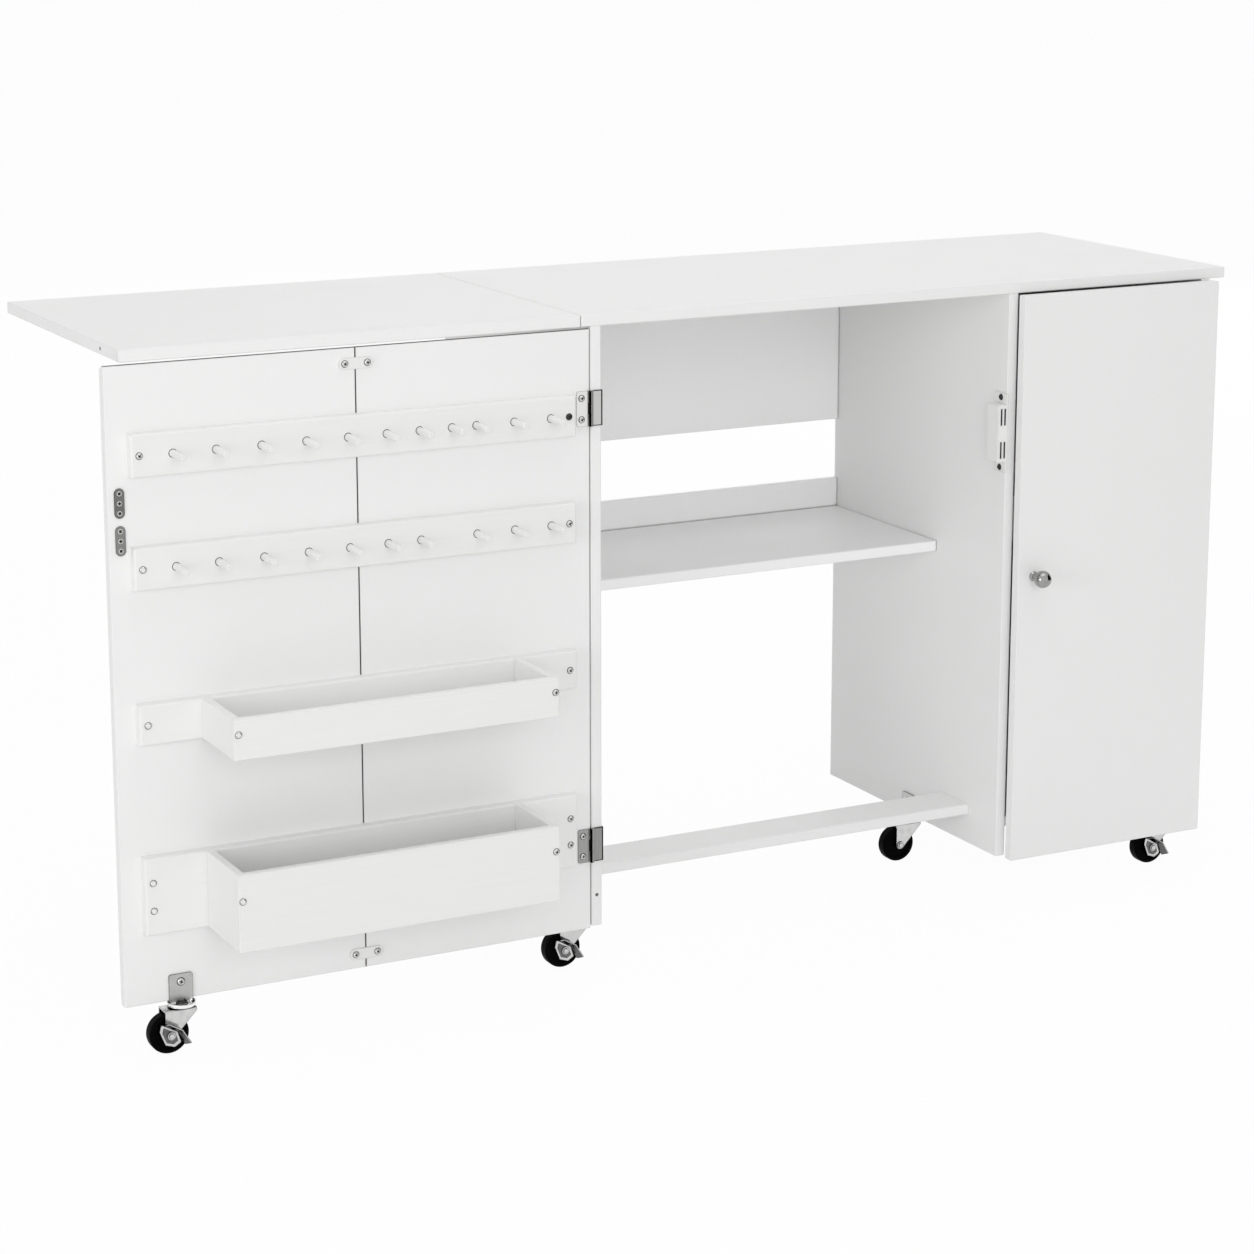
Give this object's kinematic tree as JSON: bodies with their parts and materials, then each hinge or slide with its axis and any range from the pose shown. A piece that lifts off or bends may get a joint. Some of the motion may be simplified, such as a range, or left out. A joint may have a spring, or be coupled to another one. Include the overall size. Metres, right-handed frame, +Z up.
{
  "type": "sewing table",
  "caption": "White board sewing table on casters: a drop leaf held up by a swing-out door with spool rails and bins, an open bay with a shelf and footrest, and a closed cupboard.",
  "frame": {"origin": "on the floor, under the middle of the opened table's bounding box", "axes": "+X to the sitter's right along the worktop, +Y to the back, +Z up; the front and the bins face -Y"},
  "size_m": [1.4306, 0.5048, 0.768],
  "materials": {
    "white_board": "satin white melamine",
    "white_plastic": "satin",
    "white_peg": "painted white",
    "hinge_steel": "satin",
    "strike_steel": "satin",
    "zinc_steel": "bright zinc",
    "screw_steel": "bright zinc",
    "dark_steel": "dark",
    "chrome": "polished",
    "black_wheel": "satin black"
  },
  "bodies": {
    "cabinet": {"main_top": "white_board", "left_side_panel": "white_board", "divider_panel": "white_board", "right_side_panel": "white_board", "upper_back_panel": "white_board", "bay_shelf": "white_board", "shelf_back_rail": "white_board", "footrest": "white_board", "cupboard_bottom": "white_board", "cupboard_back": "white_board", "cupboard_shelves": "white_board", "door_hinge_edge_leaves": "hinge_steel", "leaf_hinge_top_plates": "hinge_steel", "hinge_pins": "hinge_steel", "door_catch": "white_plastic", "cupboard_catch": "white_plastic", "catch_poles": "dark_steel", "caster_brackets": "zinc_steel", "cabinet_screws": "screw_steel"},
    "drop_leaf": {"drop_leaf": "white_board", "leaf_hinge_leaf_plates": "hinge_steel", "leaf_screws": "screw_steel"},
    "swing_door": {"door_board_outer": "white_board", "door_board_inner": "white_board", "door_joiners": "white_plastic", "upper_peg_rail": "white_board", "lower_peg_rail": "white_board", "spool_pegs": "white_peg", "upper_bin_back": "white_board", "upper_bin_ends": "white_board", "upper_bin_front": "white_board", "upper_bin_floor": "white_board", "lower_bin_back": "white_board", "lower_bin_ends": "white_board", "lower_bin_front": "white_board", "lower_bin_floor": "white_board", "catch_strikes": "strike_steel", "swing_door_hinge_leaves": "hinge_steel", "door_caster_bracket": "zinc_steel", "door_screws": "screw_steel"},
    "cupboard_door": {"cupboard_door": "white_board", "door_knob": "chrome", "cupboard_strike": "strike_steel", "cupboard_door_hinge_leaves": "hinge_steel", "cupboard_door_screws": "screw_steel"},
    "fork_door": {"caster_fork_door": "zinc_steel"},
    "wheel_door": {"caster_wheel_door": "black_wheel"},
    "brake_door": {"caster_brake_door": "zinc_steel"},
    "fork_left_front": {"caster_fork_left_front": "zinc_steel"},
    "wheel_left_front": {"caster_wheel_left_front": "black_wheel"},
    "brake_left_front": {"caster_brake_left_front": "zinc_steel"},
    "fork_left_rear": {"caster_fork_left_rear": "zinc_steel"},
    "wheel_left_rear": {"caster_wheel_left_rear": "black_wheel"},
    "fork_middle": {"caster_fork_middle": "zinc_steel"},
    "wheel_middle": {"caster_wheel_middle": "black_wheel"},
    "fork_right_front": {"caster_fork_right_front": "zinc_steel"},
    "wheel_right_front": {"caster_wheel_right_front": "black_wheel"},
    "brake_right_front": {"caster_brake_right_front": "zinc_steel"},
    "fork_right_rear": {"caster_fork_right_rear": "zinc_steel"},
    "wheel_right_rear": {"caster_wheel_right_rear": "black_wheel"}
  },
  "joints": [
    {"name": "swing_door_hinge", "type": "hinge", "parent": "cabinet", "child": "swing_door", "pos_m": [-0.1565, -0.1444, 0.4], "axis": [0, 0, 1], "range_deg": [0, 180]},
    {"name": "leaf_hinge", "type": "hinge", "parent": "cabinet", "child": "drop_leaf", "pos_m": [-0.16735, 0.0554, 0.7522], "axis": [0, -1, 0], "range_deg": [0, 90]},
    {"name": "cupboard_door_hinge", "type": "hinge", "parent": "cabinet", "child": "cupboard_door", "pos_m": [0.694, -0.1444, 0.4], "axis": [0, 0, 1], "range_deg": [0, 170]},
    {"name": "swivel_door", "type": "hinge", "parent": "swing_door", "child": "fork_door", "pos_m": [-0.65275, -0.1436, 0.05], "axis": [0, 0, 1], "continuous": true},
    {"name": "wheel_door_spin", "type": "hinge", "parent": "fork_door", "child": "wheel_door", "pos_m": [-0.66975, -0.1436, 0.0225], "axis": [0, 1, 0], "continuous": true},
    {"name": "brake_door_lever", "type": "hinge", "parent": "fork_door", "child": "brake_door", "pos_m": [-0.66975, -0.1556, 0.0225], "axis": [0, -1, 0], "range_deg": [0, 25]},
    {"name": "swivel_left_front", "type": "hinge", "parent": "cabinet", "child": "fork_left_front", "pos_m": [-0.15775, -0.0976, 0.05], "axis": [0, 0, 1], "continuous": true},
    {"name": "wheel_left_front_spin", "type": "hinge", "parent": "fork_left_front", "child": "wheel_left_front", "pos_m": [-0.17475, -0.0976, 0.0225], "axis": [0, 1, 0], "continuous": true},
    {"name": "brake_left_front_lever", "type": "hinge", "parent": "fork_left_front", "child": "brake_left_front", "pos_m": [-0.17475, -0.1096, 0.0225], "axis": [0, -1, 0], "range_deg": [0, 25]},
    {"name": "swivel_left_rear", "type": "hinge", "parent": "cabinet", "child": "fork_left_rear", "pos_m": [-0.15775, 0.2034, 0.05], "axis": [0, 0, 1], "continuous": true},
    {"name": "wheel_left_rear_spin", "type": "hinge", "parent": "fork_left_rear", "child": "wheel_left_rear", "pos_m": [-0.17475, 0.2034, 0.0225], "axis": [0, 1, 0], "continuous": true},
    {"name": "swivel_middle", "type": "hinge", "parent": "cabinet", "child": "fork_middle", "pos_m": [0.39725, 0.0564, 0.05], "axis": [0, 0, 1], "continuous": true},
    {"name": "wheel_middle_spin", "type": "hinge", "parent": "fork_middle", "child": "wheel_middle", "pos_m": [0.38025, 0.0564, 0.0225], "axis": [0, 1, 0], "continuous": true},
    {"name": "swivel_right_front", "type": "hinge", "parent": "cabinet", "child": "fork_right_front", "pos_m": [0.67825, -0.0976, 0.05], "axis": [0, 0, 1], "continuous": true},
    {"name": "wheel_right_front_spin", "type": "hinge", "parent": "fork_right_front", "child": "wheel_right_front", "pos_m": [0.66125, -0.0976, 0.0225], "axis": [0, 1, 0], "continuous": true},
    {"name": "brake_right_front_lever", "type": "hinge", "parent": "fork_right_front", "child": "brake_right_front", "pos_m": [0.66125, -0.1096, 0.0225], "axis": [0, -1, 0], "range_deg": [0, 25]},
    {"name": "swivel_right_rear", "type": "hinge", "parent": "cabinet", "child": "fork_right_rear", "pos_m": [0.67825, 0.2034, 0.05], "axis": [0, 0, 1], "continuous": true},
    {"name": "wheel_right_rear_spin", "type": "hinge", "parent": "fork_right_rear", "child": "wheel_right_rear", "pos_m": [0.66125, 0.2034, 0.0225], "axis": [0, 1, 0], "continuous": true}
  ],
  "couplings": [
    {"joint": "leaf_hinge", "follows": "swing_door_hinge", "ratio": 0.5}
  ]
}
